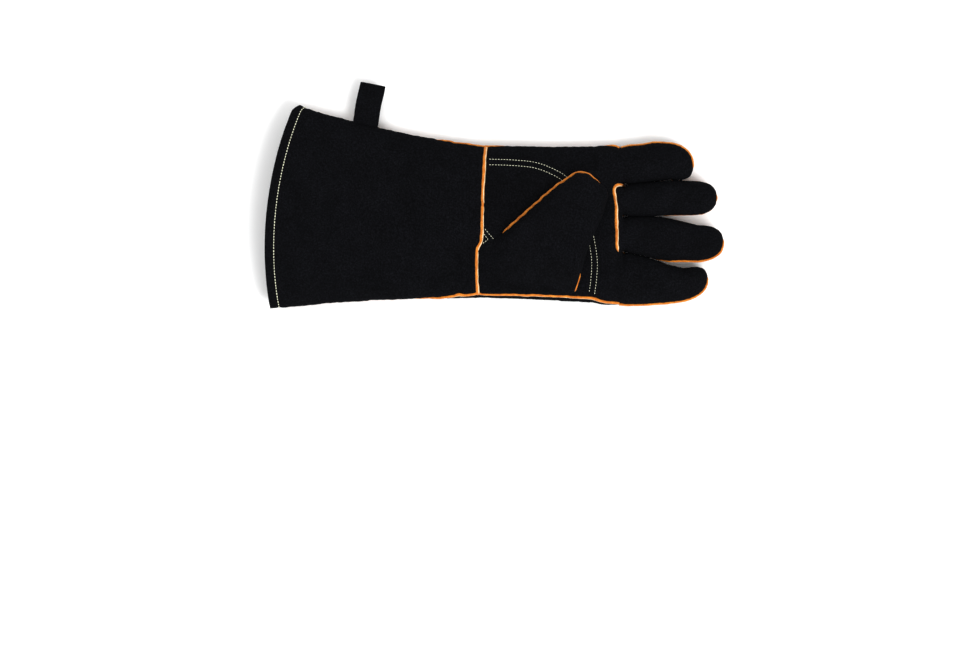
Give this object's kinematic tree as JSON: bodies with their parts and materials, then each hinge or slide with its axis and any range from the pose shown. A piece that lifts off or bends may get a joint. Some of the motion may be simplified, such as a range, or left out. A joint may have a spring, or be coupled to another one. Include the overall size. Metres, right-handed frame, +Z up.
{
  "type": "heat resistant glove",
  "caption": "Long heat resistant gauntlet glove, right hand: black split leather panels with orange welts, an insulating lining, a folded-over thumb and a hanging loop.",
  "frame": {"origin": "on the surface that the glove lies on, under the centre of its box", "axes": "+X towards the fingertips, +Y towards the little finger's side, +Z up, out of the palm"},
  "size_m": [0.4042, 0.2032, 0.0436],
  "materials": {
    "black_leather": "matt black split leather with a short nap",
    "welt_leather": "matt orange split leather, pale at the cut edge",
    "thread": "off-white twisted sewing thread, dull",
    "lining_fleece": "grey insulating fleece",
    "cuff_cloth": "dark woven twill"
  },
  "bodies": {
    "hand": {"palm_panel": "black_leather", "palm_patch": "black_leather", "palm_patch_stitch": "thread", "back_panel": "black_leather", "hand_lining": "lining_fleece", "wrist_welt": "welt_leather", "finger_foot_welt": "welt_leather", "hand_welt_index_side": "welt_leather", "hand_welt_little_side": "welt_leather", "thumb_wing": "black_leather"},
    "cuff": {"cuff_palm_panel": "black_leather", "cuff_back_panel": "black_leather", "cuff_lining": "cuff_cloth", "cuff_welt_index_side": "welt_leather", "cuff_welt_little_side": "welt_leather", "hem_stitch": "thread"},
    "loop": {"hanging_loop": "black_leather"},
    "index_base": {"index_base_front": "black_leather", "index_base_back": "black_leather", "index_base_lining": "lining_fleece", "index_base_welt": "welt_leather"},
    "index_tip": {"index_tip_front": "black_leather", "index_tip_back": "black_leather", "index_tip_lining": "lining_fleece", "index_tip_welt": "welt_leather"},
    "middle_base": {"middle_base_front": "black_leather", "middle_base_back": "black_leather", "middle_base_lining": "lining_fleece", "middle_base_welt": "welt_leather"},
    "middle_tip": {"middle_tip_front": "black_leather", "middle_tip_back": "black_leather", "middle_tip_lining": "lining_fleece", "middle_tip_welt": "welt_leather"},
    "ring_base": {"ring_base_front": "black_leather", "ring_base_back": "black_leather", "ring_base_lining": "lining_fleece", "ring_base_welt": "welt_leather"},
    "ring_tip": {"ring_tip_front": "black_leather", "ring_tip_back": "black_leather", "ring_tip_lining": "lining_fleece", "ring_tip_welt": "welt_leather"},
    "little_base": {"little_base_front": "black_leather", "little_base_back": "black_leather", "little_base_lining": "lining_fleece", "little_base_welt": "welt_leather"},
    "little_tip": {"little_tip_front": "black_leather", "little_tip_back": "black_leather", "little_tip_lining": "lining_fleece", "little_tip_welt": "welt_leather"},
    "thumb_base": {"thumb_base_outer": "black_leather", "thumb_base_inner": "black_leather", "thumb_base_lining": "lining_fleece", "thumb_base_welt": "welt_leather"},
    "thumb_tip": {"thumb_tip_outer": "black_leather", "thumb_tip_inner": "black_leather", "thumb_tip_lining": "lining_fleece", "thumb_tip_welt": "welt_leather"}
  },
  "joints": [
    {"name": "wrist_bend", "type": "hinge", "parent": "hand", "child": "cuff", "pos_m": [-0.0098, -0.0234, 0.0245], "axis": [0, 1, 0], "range_deg": [-15, 60], "stiffness_Nm_per_rad": 0.8},
    {"name": "loop_swing", "type": "hinge", "parent": "cuff", "child": "loop", "pos_m": [-0.1135, 0.0688, 0.012], "axis": [0.9816, -0.1908, 0], "range_deg": [-30, 55], "stiffness_Nm_per_rad": 0.02},
    {"name": "index_root_bend", "type": "hinge", "parent": "hand", "child": "index_base", "pos_m": [0.1117, -0.073, 0.0223], "axis": [0, -1, 0], "range_deg": [-10, 70], "stiffness_Nm_per_rad": 0.15},
    {"name": "index_middle_bend", "type": "hinge", "parent": "index_base", "child": "index_tip", "pos_m": [0.1452, -0.078, 0.0223], "axis": [0, -1, 0], "range_deg": [0, 75], "stiffness_Nm_per_rad": 0.08},
    {"name": "middle_root_bend", "type": "hinge", "parent": "hand", "child": "middle_base", "pos_m": [0.1117, -0.0327, 0.0223], "axis": [0, -1, 0], "range_deg": [-10, 70], "stiffness_Nm_per_rad": 0.15},
    {"name": "middle_middle_bend", "type": "hinge", "parent": "middle_base", "child": "middle_tip", "pos_m": [0.1452, -0.0419, 0.0223], "axis": [0, -1, 0], "range_deg": [0, 75], "stiffness_Nm_per_rad": 0.08},
    {"name": "ring_root_bend", "type": "hinge", "parent": "hand", "child": "ring_base", "pos_m": [0.1117, -0.0035, 0.0223], "axis": [0, -1, 0], "range_deg": [-10, 70], "stiffness_Nm_per_rad": 0.15},
    {"name": "ring_middle_bend", "type": "hinge", "parent": "ring_base", "child": "ring_tip", "pos_m": [0.1452, -0.0018, 0.0223], "axis": [0, -1, 0], "range_deg": [0, 75], "stiffness_Nm_per_rad": 0.08},
    {"name": "little_root_bend", "type": "hinge", "parent": "hand", "child": "little_base", "pos_m": [0.1117, 0.0272, 0.0223], "axis": [0, -1, 0], "range_deg": [-10, 70], "stiffness_Nm_per_rad": 0.15},
    {"name": "little_middle_bend", "type": "hinge", "parent": "little_base", "child": "little_tip", "pos_m": [0.1452, 0.0308, 0.0223], "axis": [0, -1, 0], "range_deg": [0, 75], "stiffness_Nm_per_rad": 0.08},
    {"name": "thumb_root_lift", "type": "hinge", "parent": "hand", "child": "thumb_base", "pos_m": [0.0483, -0.043, 0.0439], "axis": [0.7848, -0.6198, 0], "range_deg": [0, 70], "stiffness_Nm_per_rad": 0.12},
    {"name": "thumb_middle_lift", "type": "hinge", "parent": "thumb_base", "child": "thumb_tip", "pos_m": [0.06999, -0.01553, 0.0439], "axis": [0.7848, -0.6198, 0], "range_deg": [0, 40], "stiffness_Nm_per_rad": 0.08}
  ]
}
